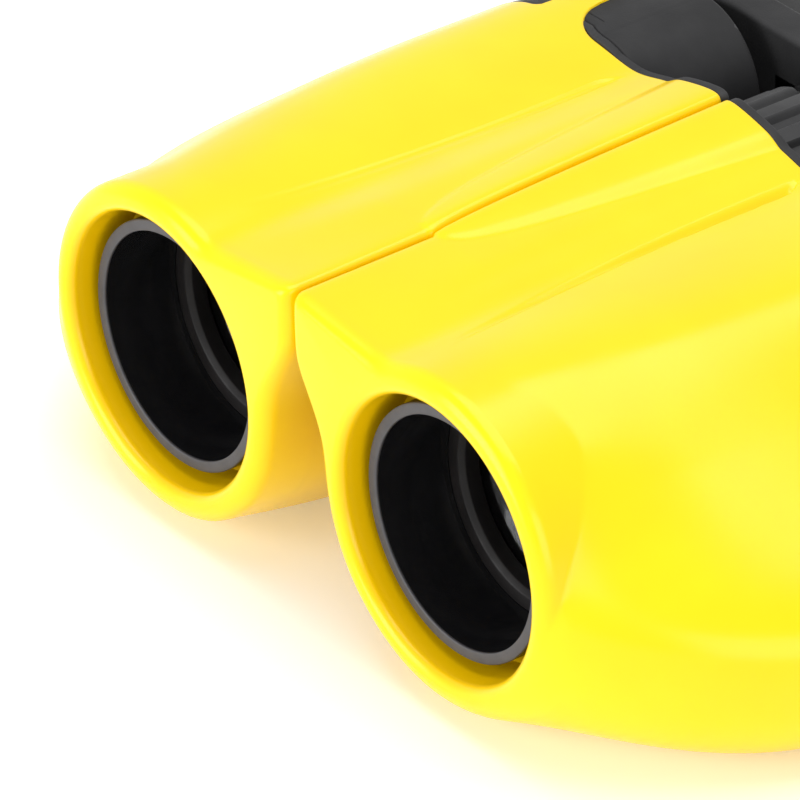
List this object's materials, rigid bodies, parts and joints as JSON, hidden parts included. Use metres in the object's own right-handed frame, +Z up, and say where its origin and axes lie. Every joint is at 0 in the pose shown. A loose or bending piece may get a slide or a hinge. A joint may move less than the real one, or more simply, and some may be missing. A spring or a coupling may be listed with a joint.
{
  "type": "toy binoculars",
  "caption": "Compact folding toy binoculars with flared housings, a ribbed centre focus wheel, a sliding eyepiece bridge and a dioptre ring.",
  "frame": {"origin": "centre of the whole object's box, seen from above, at the surface that the two bellies rest on, with the halves level", "axes": "+X to the right half as the user holds it, +Y from the objectives to the eyepieces, +Z up, away from the bellies"},
  "size_m": [0.1072, 0.085, 0.0364],
  "materials": {
    "yellow_shell": "glossy moulded yellow",
    "black_plastic": "fine-grained satin black",
    "black_tube": "glossy black",
    "grey_ring": "satin dark grey",
    "glass": "clear, polished",
    "spring_steel": "bright",
    "brass": "turned",
    "rubber": "soft matte",
    "nylon": "natural nylon"
  },
  "bodies": {
    "left_half": {"left_front_shell": "yellow_shell", "left_rear_cover": "black_plastic", "left_objective_cell": "black_tube", "left_objective_lens": "glass", "left_lens_retainer": "grey_ring", "left_prism_cage": "black_plastic", "left_front_prism": "glass", "left_rear_prism": "glass", "left_prism_straps": "spring_steel", "left_cover_screws": "spring_steel", "hinge_tube": "spring_steel", "hinge_washers": "nylon", "hinge_cap": "black_plastic"},
    "right_half": {"right_front_shell": "yellow_shell", "right_rear_cover": "black_plastic", "right_objective_cell": "black_tube", "right_objective_lens": "glass", "right_lens_retainer": "grey_ring", "right_prism_cage": "black_plastic", "right_front_prism": "glass", "right_rear_prism": "glass", "right_prism_straps": "spring_steel", "right_cover_screws": "spring_steel"},
    "focus_wheel": {"focus_wheel": "black_plastic"},
    "left_eyepiece": {"focus_screw": "brass", "bridge_nut": "black_plastic", "left_bridge_arm": "black_plastic", "left_eyepiece_tube": "black_tube", "left_field_lens": "glass", "left_eye_lens": "glass", "left_eye_retainer": "black_plastic", "left_eyecup": "rubber", "left_trim_ring": "black_plastic"},
    "right_eyepiece": {"right_bridge_arm": "black_plastic", "right_eyepiece_tube": "black_tube", "right_field_lens": "glass"},
    "dioptre_ring": {"dioptre_ring": "black_plastic"},
    "right_ocular": {"right_eye_lens": "glass", "right_eye_retainer": "black_plastic", "right_eyecup": "rubber", "right_ocular_cell": "black_tube"}
  },
  "joints": [
    {"name": "fold", "type": "hinge", "parent": "left_half", "child": "right_half", "pos_m": [0, 0, 0.024], "axis": [0, 1, 0], "range_deg": [0, 40]},
    {"name": "focus_turn", "type": "hinge", "parent": "left_half", "child": "focus_wheel", "pos_m": [0, 0, 0.024], "axis": [0, 1, 0], "range_deg": [-180, 180]},
    {"name": "left_focus_slide", "type": "slide", "parent": "left_half", "child": "left_eyepiece", "axis": [0, 1, 0], "range_m": [-0.002, 0.002]},
    {"name": "right_focus_slide", "type": "slide", "parent": "right_half", "child": "right_eyepiece", "axis": [0, 1, 0], "range_m": [-0.002, 0.002]},
    {"name": "dioptre_turn", "type": "hinge", "parent": "right_eyepiece", "child": "dioptre_ring", "pos_m": [0.03396, 0, 0.01429], "axis": [0, 1, 0], "range_deg": [-60, 60]},
    {"name": "dioptre_slide", "type": "slide", "parent": "right_eyepiece", "child": "right_ocular", "axis": [0, 1, 0], "range_m": [-0.0008, 0.0008]}
  ],
  "couplings": [
    {"joint": "focus_turn", "follows": "left_focus_slide", "rad_per_m": 1570.8},
    {"joint": "right_focus_slide", "follows": "left_focus_slide", "ratio": 1},
    {"joint": "dioptre_slide", "follows": "dioptre_turn", "m_per_rad": 0.00076394}
  ]
}
